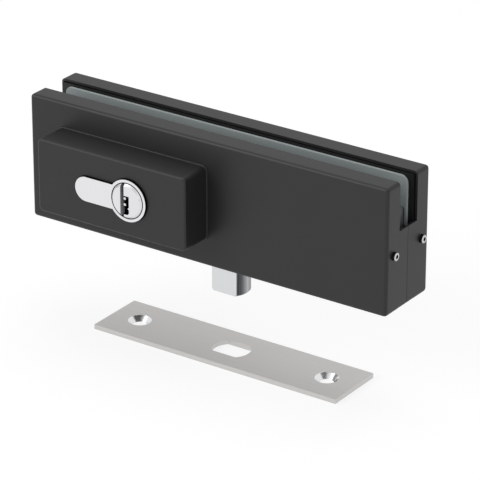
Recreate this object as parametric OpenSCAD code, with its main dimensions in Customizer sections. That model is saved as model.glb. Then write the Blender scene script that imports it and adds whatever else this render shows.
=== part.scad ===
// Glass door lock: a patch lock that clamps on the lower edge of a glass door, with a euro-profile
// double cylinder that drives a vertical bolt into a floor plate.
// X runs along the lock, -Y is the front, +Z is up. The origin is the middle of the seat that the
// glass stands on. All sizes are in millimetres.

/* [Glass door] */
// Thickness of the glass that is clamped
glass_t = 8; // [8:0.5:12]
// Thickness of each gasket
gasket_t = 1; // [0.5:0.25:2]
// Height of the seat under the glass, from the lock's bottom
seat_h = 36.8; // [36.3:0.5:38.8]

/* [Covers] */
// Length of the covers
lock_l = 163.2; // [159.2:1:190.2]
// Height of the covers
lock_h = 51.3; // [49.3:1:61.3]
// Depth of a cover from its rim to its face
cover_d = 8.25; // [8:0.25:12]
// Thickness of the covers' sheet
cover_t = 1; // [0.8:0.1:1.2]
// Radius of the covers' corners
cover_r = 1.6; // [1.5:0.1:4]
// Radius of the covers' front edges
cover_fillet = 1.1; // [0.4:0.1:1.2]
// Gap between a cover and the clamp inside it
cover_gap = 0.3; // [0.2:0.1:0.6]
// How far a cover's rim lies behind the clamp's face
rim_back = 1; // [0.5:0.25:1.5]
// Height of the end walls that close the lock below the glass
end_wall_h = 31.8; // [26.8:0.5:34.8]
// How far the end walls stop above the lock's bottom
end_wall_lift = 0.6; // [0.2:0.1:1]
// Width of the seam between the two covers
seam_w = 0.16; // [0.1:0.02:0.4]

/* [Clamps] */
// How far the block in the cut-out of the glass stops inside the covers' ends
block_end_in = 4.9; // [4.6:0.1:6.6]
// Wall of the block round the cam and the bolt tail
block_wall = 1.5; // [1.2:0.1:2]
// How far the gaskets stop inside the covers' ends
gasket_end_in = 3.2; // [2.6:0.1:4.6]
// How far the gaskets stop below the covers' top
gasket_top_in = 2; // [1.4:0.1:3]
// Radius of the gaskets' upper corners
gasket_r = 3; // [1:0.5:4.5]
// How far the gaskets' ends reach down behind the end walls
gasket_down = 2.5; // [1:0.5:4]
// Gap between a gasket and the block
gasket_gap = 0.3; // [0.2:0.1:0.5]
// Depth of the rebates beside the seat, which the gaskets' lower edges reach into
rebate_d = 0.6; // [0.4:0.1:1]

/* [Housings] */
// Length of the raised housing round the cylinder
housing_l = 69.2; // [66:0.2:80]
// Height of the housing
housing_h = 30; // [28:0.5:36]
// Depth of the housing in front of the cover
housing_d = 14; // [10:0.5:16]
// Wall thickness of the housing
housing_t = 2; // [1.5:0.1:2.5]
// Distance of the housing's middle from the cylinder's axis, towards the lobe
housing_off = 8.5; // [6:0.5:9]
// Radius of the housing's corners
housing_r = 2; // [1.5:0.1:4]
// Radius of the housing's front edges
housing_fillet = 0.8; // [0.4:0.1:1.4]

/* [Cylinder] */
// Distance of the cylinder's axis from the middle of the lock
cyl_x = -24.5; // [-27:0.5:-24]
// Height of the cylinder's axis from the lock's bottom
cyl_h = 25.8; // [24.8:0.5:26.8]
// How far each end of the cylinder stands out of its housing
cyl_proud = 1; // [0:0.25:3]
// Radius of the euro profile's round head
cyl_r = 8.5; // [8.5:0.1:9]
// Radius of the profile's lobe
lobe_r = 5; // [4.8:0.1:5.2]
// Overall height of the profile, from head to lobe end
profile_h = 33; // [31:0.5:35]
// Radius of the plug
plug_r = 6.5; // [6.3:0.1:6.6]
// Radius of the plug's head
plug_head_r = 7; // [6.9:0.1:7.4]
// How far the plug's head stands out of the cylinder
plug_proud = 0.8; // [0.2:0.1:1.2]
// Number of pins on each side
pin_count = 5; // [4:1:5]
// Distance between the pins
pin_pitch = 3.8; // [3.6:0.1:3.9]
// Radius of the pins
pin_r = 1.4; // [1.2:0.05:1.5]

/* [Cam and bolt] */
// Radius that the cam's nose reaches
cam_r = 15.2; // [15:0.1:15.4]
// Width of the cam along the axis
cam_w = 9.8; // [9:0.1:9.8]
// Distance of the bolt's axis from the middle of the lock
bolt_x = 3; // [3:0.25:6]
// Diameter of the bolt
bolt_dia = 15; // [14:0.25:15.5]
// Width of the bolt across its flats
bolt_flats = 10; // [8:0.5:10]
// Length of the bolt that stands out when it is thrown
bolt_out = 14.7; // [9.7:0.5:14.7]
// Travel of the bolt
bolt_throw = 16; // [15.6:0.1:16.4]
// Height of the bolt's upper end from the lock's bottom, thrown
bolt_top_h = 18.3; // [17.8:0.25:18.8]
// Height of the bolt guide
guide_h = 8; // [6.8:0.2:8.2]
// Thickness of the bolt tail
tail_t = 3; // [2:0.25:4]

/* [Screws] */
// Height of the end screws from the lock's bottom
end_screw_h = 23.3; // [18.8:0.5:24.8]
// Distance of the end screws from the covers' faces
end_screw_in = 4.75; // [4.5:0.25:6]
// Diameter of the end screws
end_screw_dia = 3.2; // [3:0.1:4.4]
// How far the end screws stand out
end_screw_out = 1.4; // [0:0.1:1.5]
// Distance of the clamp screws from the covers' ends
clamp_screw_in = 14.1; // [13.1:0.25:14.6]
// Diameter of the clamp screws
clamp_screw_dia = 6; // [5:0.5:6]
// Height of the lower clamp screws from the lock's bottom
clamp_screw_h = 8.3; // [8.05:0.25:8.8]
// Distance between the rows of clamp screws
clamp_screw_dz = 18; // [17:0.25:19]

/* [Strike plate] */
// Length of the strike plate
strike_l = 113; // [106:1:140]
// Width of the strike plate
strike_w = 26.5; // [20:0.5:40]
// Thickness of the strike plate
strike_t = 2; // [1.5:0.25:3]
// Distance of the strike plate's top below the lock, as shown apart
strike_drop = 40.2; // [35.2:1:60.2]
// Distance between the strike plate's screw holes
strike_pitch = 88; // [60:1:92]
// Diameter of its screw holes
strike_hole_dia = 5; // [3.5:0.25:5.5]
// Diameter of its countersinks
strike_csk_dia = 9.4; // [7:0.2:10]
// Clearance of the bolt hole round the bolt's round sides
strike_gap = 0.3; // [0.2:0.1:1]
// Clearance of the bolt hole beside the bolt's flats
strike_flat_gap = 0.5; // [0.2:0.1:1]

/* [Hidden] */

$fn = 64;

// Clearances of the fits
run_gap = 0.05;
slide_gap = 0.2;
thread_gap = 0.05;
cut = 0.5;

// Planes across the lock, as distances from the middle of the glass
clamp_y = glass_t / 2 + gasket_t;
rim_y = clamp_y + rim_back;
face_y = rim_y + cover_d;
clamp_back_y = face_y - cover_t - cover_gap;
housing_y = face_y + housing_d;
cyl_end_y = housing_y + cyl_proud;
plug_end_y = cyl_end_y + plug_proud;

// Heights
bottom_z = -seat_h;
top_z = lock_h - seat_h;
mid_z = (bottom_z + top_z) / 2;
cyl_z = bottom_z + cyl_h;
clamp_inset = cover_t + cover_gap;
clamp_bottom_z = bottom_z + clamp_inset;
clamp_top_z = top_z - clamp_inset;

// Cylinder: the cam's slot, the circlip's seat and the plug's nose
cam_slot_w = 10;
web_x = -15.9;
head_seat_d = 1;
circlip_t = 1;
circlip_in = 1.1;
circlip_r = 7.1;
circlip_groove_r = 5.6;
circlip_mouth_w = 5;
nose_r = 5;
nose_y = 2.2;
tongue_w = 2;
tongue_d = 1.4;
ear_r = 6.2;
ear_w = 2.4;
cyl_screw_dia = 5;
cyl_screw_off = 20;
cyl_screw_head_dia = 9.2;
cyl_cross_l = 5;
cyl_cross_w = 1;
first_pin_in = 4.6;
cap_l = 2;
driver_l = 5;
// Lengths of the key pins, from the front
key_pin_l = [3.4, 2.7, 3.8, 3.1, 2.5];
pin_spring_turns = 5;
pin_spring_wire = 0.36;

// Keyway, as seen from the front with the plug as shown: left wall, right wall, upper and lower end
key_left = -1.65;
key_right = 1.35;
key_up = 2.2;
key_down = -5.35;
key_slit_left = -2.6;
key_slit_right = -1;
key_slit_d = 2.5;
key_l = 22;
ward_h = 0.9;
ward_out = 1.65;
wards_z = [1.15, -1.3];
ridge_z = -2.75;
ridge_r = 0.45;

// Cam: hub, nose and its swing between the bolt's two positions
cam_hub_r = 8.3;
nose_root_r = 6;
nose_root_w = 8.4;
nose_tip_w = 6.4;
cam_rest = -45;

// Bolt tail: notch round the nose, fingers and web
notch_half = 5.1;
finger_x = 9.5;
finger_top_t = 2.6;
finger_low_t = 3;
tail_web_t = 3.4;
nose_clear = 0.4;
arm_clear = 0.2;
rivet_dia = 3;
rivet_pitch = 6;

// Bolt guide and friction pad
guide_wall = 2.45;
pad_dia = 5;
pad_l = 1.8;
pad_spring_turns = 2.5;
pad_spring_wire = 0.6;
pad_screw_dia = 6;
pad_screw_l = 2.5;

// Screw heads
clamp_head_dia = 10;
clamp_head_h = 4;
clamp_hex = 5;
end_screw_l = 8;
end_hex = 1.5;
housing_screw_dia = 3;
housing_screw_l = 8;
housing_head_dia = 5.5;
housing_head_h = 2;
housing_cross_l = 3.2;
housing_cross_w = 0.8;
housing_post_r = 3.4;
housing_post_in = 5;
window_gap = 0.25;
seat_gap = 0.2;
rebate_gap = 0.1;

// Places worked out from the sizes above
block_l = lock_l - 2 * block_end_in;
clamp_screw_x = lock_l / 2 - clamp_screw_in;
housing_x = cyl_x - housing_off;
lobe_x = lobe_r + cyl_r - profile_h;
lobe_end_x = lobe_x - lobe_r;
bolt_bottom_z = bottom_z - bolt_out;
bolt_top_z = bottom_z + bolt_top_h;
bolt_r = bolt_dia / 2;
guide_bottom_z = clamp_bottom_z;
guide_top_z = guide_bottom_z + guide_h;
guide_half_x = bolt_r + guide_wall;
guide_half_y = bolt_flats / 2 + guide_wall;
pad_z = (guide_bottom_z + guide_top_z) / 2;
inner_y = max(bolt_flats / 2, cam_slot_w / 2) + slide_gap;
notch_z = cyl_z - bolt_throw / 2;
tail_web_x = cyl_x + cam_r + nose_clear;
tail_right_x = tail_web_x + tail_web_t;
tail_top_z = notch_z + notch_half + finger_top_t;
tail_bottom_z = notch_z - notch_half - finger_low_t;
arm_bottom_z = guide_top_z + arm_clear + slide_gap;
arm_top_z = bolt_top_z - 0.1;
pocket_r = cam_r + nose_clear;
pocket_top_z = tail_top_z + bolt_throw + nose_clear;
bump_left_x = cyl_x - pocket_r - block_wall;
bump_right_x = tail_right_x + nose_clear + block_wall;
bump_top_z = max(pocket_top_z, cyl_z + pocket_r) + block_wall;
bump_r = 4;
strike_top_z = bottom_z - strike_drop;
strike_hole_r = bolt_r + strike_gap;

// Turns a plan drawn in X and Z so that it is extruded from y_from to y_to
module across(y_from, y_to) {
    translate([0, y_to, 0]) rotate([90, 0, 0]) linear_extrude(y_to - y_from) children();
}

// A round bar along X, Y or Z between two places
module bar_x(x0, x1, y, z, d) {
    translate([x0, y, z]) rotate([0, 90, 0]) cylinder(h = x1 - x0, d = d);
}
module bar_y(y0, y1, x, z, d) {
    translate([x, y0, z]) rotate([-90, 0, 0]) cylinder(h = y1 - y0, d = d);
}
module bar_z(z0, z1, x, y, d) {
    translate([x, y, z0]) cylinder(h = z1 - z0, d = d);
}

module round_rect(l, h, r) {
    square([l - 2 * r, h], center = true);
    square([l, h - 2 * r], center = true);
    for (sx = [-1, 1], sy = [-1, 1])
        translate([sx * (l / 2 - r), sy * (h / 2 - r)]) circle(r);
}

// A plate with rounded corners r, whose upper edge is rounded with radius f
module soft_plate(l, h, d, r, f) {
    linear_extrude(d - f) round_rect(l, h, r);
    linear_extrude(d) round_rect(l - 2 * f, h - 2 * f, r - f);
    for (s = [-1, 1]) {
        translate([-(l / 2 - r), s * (h / 2 - f), d - f]) rotate([0, 90, 0]) cylinder(h = l - 2 * r, r = f);
        translate([s * (l / 2 - f), -(h / 2 - r), d - f]) rotate([-90, 0, 0]) cylinder(h = h - 2 * r, r = f);
    }
    for (sx = [-1, 1], sy = [-1, 1])
        translate([sx * (l / 2 - r), sy * (h / 2 - r), d - f])
            rotate_extrude() translate([r - f, 0]) intersection() {
                circle(f);
                translate([-(r - f), -f]) square([r, 2 * f]);
            }
}

// Puts a plate drawn on XY, with its height along Z, on the front at distance y, facing -Y
module on_front(x, y, z) {
    translate([x, -y, z]) rotate([90, 0, 0]) children();
}

// Euro profile in the plane of X and Z about the cylinder's axis, its lobe towards -X
module profile(gap = 0) {
    translate([cyl_x, cyl_z]) {
        circle(cyl_r + gap);
        translate([lobe_x, 0]) circle(lobe_r + gap);
        translate([lobe_x, -lobe_r - gap]) square([-lobe_x, 2 * (lobe_r + gap)]);
    }
}

module hex(af) {
    circle(r = af / sqrt(3), $fn = 6);
}

// A coil along +Z, from z = 0 to z = l, as one unbroken tube
module coil(r, wire, l, turns, sides, rings) {
    n = ceil(turns * rings);
    points = [for (i = [0:n], j = [0:sides - 1])
        let (a = 360 * turns * i / n, b = 360 * j / sides, d = r + wire / 2 * cos(b))
        [d * cos(a), d * sin(a), wire / 2 + (l - wire) * i / n + wire / 2 * sin(b)]];
    walls = [for (i = [0:n - 1], j = [0:sides - 1], half = [0, 1])
        let (p = i * sides + j, q = i * sides + (j + 1) % sides)
        half == 0 ? [p, p + sides, q + sides] : [p, q + sides, q]];
    first = [for (j = [0:sides - 1]) j];
    last = [for (j = [0:sides - 1]) n * sides + sides - 1 - j];
    polyhedron(concat(points), concat(walls, [first, last]));
}

// The four places of the screws that hold a housing on its cover
module housing_screw_places() {
    for (sx = [-1, 1], sz = [-1, 1])
        translate([housing_x + sx * (housing_l / 2 - housing_post_in), 0,
                   cyl_z + sz * (housing_h / 2 - housing_post_in)]) children();
}

module clamp_screw_places() {
    for (sx = [-1, 1], row = [0, 1])
        translate([sx * clamp_screw_x, 0, bottom_z + clamp_screw_h + row * clamp_screw_dz]) children();
}

// Places of the end screws in the front half, each with its tip at the origin and its head towards +X
module end_screw_places() {
    for (s = [0, 1]) mirror([s, 0, 0])
        translate([lock_l / 2 + end_screw_out, -(face_y - end_screw_in), bottom_z + end_screw_h]) children();
}

module pin_places() {
    for (i = [0:pin_count - 1])
        translate([cyl_x, -(cyl_end_y - first_pin_in - i * pin_pitch), cyl_z]) children();
}

// Cover shell of the front half
module cover() {
    inner_l = lock_l - 2 * cover_t;
    inner_h = lock_h - 2 * cover_t;
    difference() {
        union() {
            on_front(0, rim_y, mid_z) soft_plate(lock_l, lock_h, cover_d, cover_r, cover_fillet);
            across(-rim_y - cut, -seam_w / 2) intersection() {
                translate([0, mid_z]) difference() {
                    round_rect(lock_l, lock_h, cover_r);
                    square([lock_l - 2 * cover_r, lock_h + 2], center = true);
                }
                translate([-lock_l / 2, bottom_z + end_wall_lift]) square([lock_l, end_wall_h - end_wall_lift]);
            }
        }
        across(-(face_y - cover_t), cut)
            translate([0, mid_z]) round_rect(inner_l, inner_h, cover_r - cover_t);
        across(-face_y - cut, -rim_y) profile(window_gap);
        housing_screw_places() bar_y(-face_y - cut, -rim_y, 0, 0, housing_screw_dia + 2 * slide_gap);
        end_screw_places() bar_x(-cover_t - end_screw_out - 1, cut, 0, 0, end_screw_dia + slide_gap);
    }
}

module front_cover() { color("#3d3d3f") cover(); }
module rear_cover() { color("#3d3d3f") mirror([0, 1, 0]) cover(); }

// Raised housing of the front half: a box that is open behind, with four screw posts
module housing() {
    pocket_d = housing_d - housing_t;
    difference() {
        on_front(housing_x, face_y, cyl_z)
            soft_plate(housing_l, housing_h, housing_d, housing_r, housing_fillet);
        difference() {
            across(-(face_y + pocket_d), -face_y + cut) translate([housing_x, cyl_z])
                square([housing_l - 2 * housing_t, housing_h - 2 * housing_t], center = true);
            housing_screw_places()
                bar_y(-(face_y + pocket_d + cut), -face_y, 0, 0, 2 * housing_post_r);
        }
        across(-housing_y - cut, -face_y) profile(window_gap);
        housing_screw_places()
            bar_y(-(face_y + housing_screw_l + 1), -face_y + cut, 0, 0, housing_screw_dia + 2 * thread_gap);
    }
}

module front_housing() { color("#39393b") housing(); }
module rear_housing() { color("#39393b") mirror([0, 1, 0]) housing(); }

// What both clamps leave free: cylinder, screws, bolt and guide
module clamp_cuts() {
    across(-clamp_back_y - cut, clamp_back_y + cut) profile(seat_gap);
    for (s = [0, 1]) mirror([0, s, 0]) {
        end_screw_places()
            bar_x(-end_screw_l - 1, cut, 0, 0, end_screw_dia + 2 * thread_gap);
        housing_screw_places()
            bar_y(-clamp_back_y - cut, -(clamp_back_y - housing_head_h - slide_gap), 0, 0,
                  housing_head_dia + 1.5);
    }
    bar_y(-inner_y, inner_y, cyl_x, cyl_z, 2 * pocket_r);
    translate([bolt_x - guide_half_x - run_gap, -guide_half_y - run_gap, clamp_bottom_z - cut])
        cube([2 * (guide_half_x + run_gap), 2 * (guide_half_y + run_gap), guide_h + cut + run_gap]);
    translate([bolt_x - bolt_r - slide_gap, -inner_y, guide_top_z])
        cube([2 * (bolt_r + slide_gap), 2 * inner_y, bolt_top_z + bolt_throw + nose_clear - guide_top_z]);
}

// Plan of the pocket that the bolt tail moves in
module tail_pocket() {
    translate([cyl_x + finger_x - nose_clear, tail_bottom_z - nose_clear])
        square([tail_right_x + nose_clear - (cyl_x + finger_x - nose_clear),
                pocket_top_z - tail_bottom_z + nose_clear]);
    translate([tail_web_x, guide_top_z])
        square([bolt_x - tail_web_x, arm_top_z + bolt_throw + nose_clear - guide_top_z]);
}

// Plan of the block between the clamps: a long bar with a raised part over the cam
module block() {
    translate([-block_l / 2, clamp_bottom_z]) square([block_l, -clamp_bottom_z]);
    translate([bump_left_x, cyl_z]) square([bump_right_x - bump_left_x, bump_top_z - cyl_z - bump_r]);
    translate([bump_left_x + bump_r, cyl_z])
        square([bump_right_x - bump_left_x - 2 * bump_r, bump_top_z - cyl_z]);
    for (x = [bump_left_x + bump_r, bump_right_x - bump_r]) translate([x, bump_top_z - bump_r]) circle(bump_r);
}

// Rebate in front of the seat, on both sides of the raised part
module seat_rebate() {
    for (span = [[-block_l / 2 - cut, bump_left_x], [bump_right_x, block_l / 2 + cut]])
        translate([span[0], -clamp_y, -rebate_d])
            cube([span[1] - span[0], gasket_t + rebate_gap, rebate_d + cut]);
}

module clamp_plate() {
    on_front(0, clamp_y, mid_z)
        linear_extrude(clamp_back_y - clamp_y)
            round_rect(lock_l - 2 * clamp_inset, lock_h - 2 * clamp_inset, cover_r - cover_t);
}

module front_clamp() {
    color("#232326") difference() {
        union() {
            clamp_plate();
            across(-clamp_y - cut, clamp_y) block();
        }
        clamp_cuts();
        for (s = [0, 1]) mirror([0, s, 0]) seat_rebate();
        across(-inner_y, clamp_y + cut) tail_pocket();
        clamp_screw_places() bar_y(-clamp_back_y + 1, clamp_y + cut, 0, 0, clamp_screw_dia + 2 * thread_gap);
        bar_z(clamp_bottom_z - cut, cyl_z, cyl_x - cyl_screw_off, 0, cyl_screw_dia + 2 * slide_gap);
        translate([cyl_x - cyl_screw_off, 0, clamp_bottom_z])
            cylinder(h = (cyl_screw_head_dia - cyl_screw_dia) / 2 + thread_gap,
                     d1 = cyl_screw_head_dia + 2 * thread_gap, d2 = cyl_screw_dia);
        bar_y(-clamp_back_y - cut, 0, bolt_x, pad_z, pad_dia + slide_gap);
        bar_y(-clamp_back_y - cut, -clamp_back_y + pad_screw_l + run_gap, bolt_x, pad_z,
              pad_screw_dia + 2 * thread_gap);
    }
}

module rear_clamp() {
    color("#232326") difference() {
        mirror([0, 1, 0]) clamp_plate();
        clamp_cuts();
        clamp_screw_places() {
            bar_y(0, clamp_back_y + cut, 0, 0, clamp_screw_dia + 2 * slide_gap);
            bar_y(clamp_back_y - clamp_head_h - slide_gap, clamp_back_y + cut, 0, 0,
                  clamp_head_dia + 2 * slide_gap);
        }
    }
}

// Gasket of the front half, cut out round the block
module gasket() {
    l = lock_l - 2 * gasket_end_in;
    low_z = bottom_z + end_wall_h - gasket_down;
    high_z = top_z - gasket_top_in;
    across(-clamp_y, -glass_t / 2) difference() {
        union() {
            translate([-l / 2, low_z]) square([l, high_z - low_z - gasket_r]);
            translate([-l / 2 + gasket_r, low_z]) square([l - 2 * gasket_r, high_z - low_z]);
            for (s = [-1, 1]) translate([s * (l / 2 - gasket_r), high_z - gasket_r]) circle(gasket_r);
        }
        translate([-block_l / 2 - gasket_gap, low_z - 1])
            square([block_l + 2 * gasket_gap, gasket_gap - rebate_d - low_z + 1]);
        translate([bump_left_x - gasket_gap, -1])
            square([bump_right_x - bump_left_x + 2 * gasket_gap, bump_top_z + gasket_gap + 1]);
    }
}

module front_gasket() { color("#7a8282") gasket(); }
module rear_gasket() { color("#7a8282") mirror([0, 1, 0]) gasket(); }

module clamp_screws() {
    color("#b5b5b8") clamp_screw_places() {
        bar_y(-clamp_back_y + 1.4, clamp_back_y - clamp_head_h, 0, 0, clamp_screw_dia);
        difference() {
            bar_y(clamp_back_y - clamp_head_h - 0.01, clamp_back_y, 0, 0, clamp_head_dia);
            across(clamp_back_y - clamp_head_h * 0.6, clamp_back_y + cut) hex(clamp_hex);
        }
    }
}

// Set screw with a chamfered end and a hex socket
module end_screws() {
    chamfer = 0.5;
    color("#c9c9cc") for (s = [0, 1]) mirror([0, s, 0]) end_screw_places() difference() {
        translate([-end_screw_l, 0, 0]) rotate([0, 90, 0]) {
            cylinder(h = end_screw_l - chamfer, d = end_screw_dia);
            translate([0, 0, end_screw_l - chamfer])
                cylinder(h = chamfer, d1 = end_screw_dia, d2 = end_screw_dia - 2 * chamfer);
        }
        translate([-end_hex, 0, 0]) rotate([0, 90, 0]) linear_extrude(end_hex + cut) hex(end_hex);
    }
}

// Pan-head screws that reach from inside a cover into the posts of its housing
module housing_screws() {
    head_y = face_y - cover_t;
    color("#8d8d90") for (s = [0, 1]) mirror([0, s, 0]) housing_screw_places() {
        bar_y(-(face_y + housing_screw_l), -head_y, 0, 0, housing_screw_dia);
        difference() {
            bar_y(-head_y, -head_y + housing_head_h, 0, 0, housing_head_dia);
            across(-head_y + housing_head_h / 2, -head_y + housing_head_h + cut) {
                square([housing_cross_w, housing_cross_l], center = true);
                square([housing_cross_l, housing_cross_w], center = true);
            }
        }
    }
}

// Double cylinder: both halves and the web that joins them in the lobe
module cylinder_body() {
    color("#e8e8ea") difference() {
        across(-cyl_end_y, cyl_end_y) profile();
        translate([cyl_x + web_x, -cam_slot_w / 2, cyl_z - cyl_r - 1])
            cube([cyl_r - web_x + 1, cam_slot_w, 2 * cyl_r + 2]);
        for (s = [0, 1]) mirror([0, s, 0]) {
            bar_y(-cyl_end_y - cut, 0, cyl_x, cyl_z, 2 * (plug_r + run_gap));
            bar_y(-cyl_end_y - cut, -cyl_end_y + head_seat_d, cyl_x, cyl_z, 2 * (plug_head_r + run_gap));
            bar_y(-cam_slot_w / 2 - circlip_in - circlip_t - 0.1, 0, cyl_x, cyl_z, 2 * (circlip_r + 0.1));
            pin_places() bar_x(lobe_end_x - 1, -plug_r / 2, 0, 0, 2 * (pin_r + run_gap));
        }
        bar_z(cyl_z - cyl_r, cyl_z + cyl_r, cyl_x - cyl_screw_off, 0, cyl_screw_dia + 2 * thread_gap);
    }
}

module driver_pins() {
    color("#c8a24a") for (s = [0, 1]) mirror([0, s, 0]) pin_places()
        bar_x(-plug_r - 0.1 - driver_l, -plug_r - 0.1, 0, 0, 2 * pin_r);
}

module pin_springs() {
    spring_x = -plug_r - 0.1 - driver_l;
    spring_l = spring_x - lobe_end_x - cap_l - 0.1;
    color("#9a9a9c") for (s = [0, 1]) mirror([0, s, 0]) pin_places()
        translate([spring_x - 0.02, 0, 0]) rotate([0, -90, 0])
            coil(pin_r - pin_spring_wire / 2 - 0.06, pin_spring_wire, spring_l - 0.04, pin_spring_turns, 5, 6);
}

module pin_caps() {
    color("#c8a24a") for (s = [0, 1]) mirror([0, s, 0]) pin_places()
        bar_x(lobe_end_x + 0.1, lobe_end_x + 0.1 + cap_l, 0, 0, 2 * pin_r);
}

// Countersunk screw from the lock's bottom into the cylinder's web
module cylinder_screw() {
    head_h = (cyl_screw_head_dia - cyl_screw_dia) / 2;
    color("#b5b5b8") translate([cyl_x - cyl_screw_off, 0, clamp_bottom_z]) difference() {
        union() {
            cylinder(h = head_h, d1 = cyl_screw_head_dia, d2 = cyl_screw_dia);
            cylinder(h = cyl_z + lobe_r - 1 - clamp_bottom_z, d = cyl_screw_dia);
        }
        translate([0, 0, -cut]) linear_extrude(head_h * 0.6 + cut) {
            square([cyl_cross_w, cyl_cross_l], center = true);
            square([cyl_cross_l, cyl_cross_w], center = true);
        }
    }
}

// Opening of the keyway in X and Z about the plug's axis; open_up is how far the narrow slit reaches
module keyway(slit) {
    difference() {
        polygon([[key_left, key_up], [key_right, key_up], [key_right, key_down + 0.8],
                 [key_right - 0.65, key_down], [key_left + 0.8, key_down], [key_left, key_down + 0.9]]);
        for (z = wards_z) translate([key_left - 0.1, z - ward_h / 2]) square([ward_out + 0.1, ward_h]);
        translate([key_right, ridge_z]) circle(ridge_r);
    }
    if (slit) translate([key_slit_left, -plug_head_r])
        square([key_slit_right - key_slit_left, 2 * plug_head_r]);
}

// Plug of the front half, turned as in the front cylinder: keyway down
module plug() {
    nose_back_y = cam_slot_w / 2 + 0.1;
    groove_y = cam_slot_w / 2 + circlip_in;
    bevel = 0.75;
    difference() {
        union() {
            bar_y(-cyl_end_y + head_seat_d - 0.05, -nose_back_y, 0, 0, 2 * plug_r);
            bar_y(-plug_end_y + bevel, -cyl_end_y + head_seat_d - 0.05, 0, 0, 2 * plug_head_r);
            translate([0, -plug_end_y, 0]) rotate([-90, 0, 0])
                cylinder(h = bevel, r1 = plug_head_r - bevel, r2 = plug_head_r);
            bar_y(-nose_back_y, -nose_y, 0, 0, 2 * nose_r);
        }
        across(-plug_end_y - cut, -plug_end_y + key_l) keyway(false);
        across(-plug_end_y - cut, -plug_end_y + key_slit_d) keyway(true);
        difference() {
            bar_y(-groove_y - circlip_t - 0.05, -groove_y + 0.05, 0, 0, 2 * plug_r + 1);
            bar_y(-groove_y - circlip_t - 0.1, -groove_y + 0.1, 0, 0, 2 * circlip_groove_r);
        }
        translate([-nose_r - 1, -nose_y - tongue_d, -tongue_w / 2 - thread_gap])
            cube([2 * nose_r + 2, tongue_d + 1, tongue_w + 2 * thread_gap]);
        for (i = [0:pin_count - 1]) translate([0, -(cyl_end_y - first_pin_in - i * pin_pitch), 0])
            bar_z(-plug_r - 1, -plug_r + max(key_pin_l) + 0.2, 0, 0, 2 * (pin_r + thread_gap));
    }
}

// Key pins of the front half, in the plug with its keyway down, their ends rounded with the plug
module key_pins() {
    for (i = [0:pin_count - 1]) translate([0, -(cyl_end_y - first_pin_in - i * pin_pitch), 0]) intersection() {
        union() {
            bar_z(-plug_r, -plug_r + key_pin_l[i] - 1, 0, 0, 2 * pin_r);
            translate([0, 0, -plug_r + key_pin_l[i] - 1]) cylinder(h = 1, r1 = pin_r, r2 = 0.6);
        }
        bar_y(-pin_r - 1, pin_r + 1, 0, 0, 2 * (plug_r - 0.05));
    }
}

module circlip() {
    y = -(cam_slot_w / 2 + circlip_in);
    difference() {
        bar_y(y - circlip_t, y, 0, 0, 2 * circlip_r);
        bar_y(y - circlip_t - cut, y + cut, 0, 0, 2 * (circlip_groove_r + thread_gap));
        translate([0, y - circlip_t - cut, -circlip_mouth_w / 2])
            cube([circlip_r + 1, circlip_t + 2 * cut, circlip_mouth_w]);
    }
}

module at_axis(turn = 0) {
    translate([cyl_x, 0, cyl_z]) rotate([0, turn, 0]) children();
}

module front_plug() { color("#dcdde2") at_axis() plug(); }
module front_key_pins() { color("#c8a24a") at_axis() key_pins(); }
module front_circlip() { color("#9a9a9c") at_axis() circlip(); }

// The rear plug stands with its keyway towards the lobe, where a key goes in
module rear_plug() { color("#dcdde2") at_axis(90) mirror([0, 1, 0]) plug(); }
module rear_key_pins() { color("#c8a24a") at_axis(90) mirror([0, 1, 0]) key_pins(); }
module rear_circlip() { color("#9a9a9c") at_axis(90) mirror([0, 1, 0]) circlip(); }

// Cam: a ring round the plugs' noses, with the nose that drives the bolt
module cam() {
    tip_x = sqrt(cam_r * cam_r - nose_tip_w * nose_tip_w / 4);
    color("#a9a9ac") at_axis(-cam_rest) difference() {
        union() {
            bar_y(-cam_w / 2, cam_w / 2, 0, 0, 2 * cam_hub_r);
            across(-cam_w / 2, cam_w / 2) intersection() {
                polygon([[nose_root_r, -nose_root_w / 2], [tip_x, -nose_tip_w / 2], [cam_r, -nose_tip_w / 2],
                         [cam_r, nose_tip_w / 2], [tip_x, nose_tip_w / 2], [nose_root_r, nose_root_w / 2]]);
                circle(cam_r);
            }
        }
        bar_y(-cam_w, cam_w, 0, 0, 2 * (nose_r + run_gap));
        translate([-ear_r - 0.2, -cam_w, -ear_w / 2 - thread_gap])
            cube([2 * ear_r + 0.4, 2 * cam_w, ear_w + 2 * thread_gap]);
    }
}

// Clutch: a disc inside the cam, its tongue in the front plug's nose and its ears in the cam
module clutch() {
    disc_front_y = -nose_y + 0.1;
    disc_back_y = nose_y - 0.3;
    color("#c9c9cc") union() {
        at_axis() {
            bar_y(disc_front_y, disc_back_y, 0, 0, 2 * (nose_r - run_gap));
            intersection() {
                translate([-nose_r, -nose_y - tongue_d + 0.1, -tongue_w / 2])
                    cube([2 * nose_r, tongue_d + 0.1, tongue_w]);
                bar_y(-nose_y - tongue_d, 0, 0, 0, 2 * (nose_r - run_gap));
            }
        }
        at_axis(-cam_rest)
            translate([-ear_r, disc_front_y, -ear_w / 2]) cube([2 * ear_r, disc_back_y - disc_front_y, ear_w]);
    }
}

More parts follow.
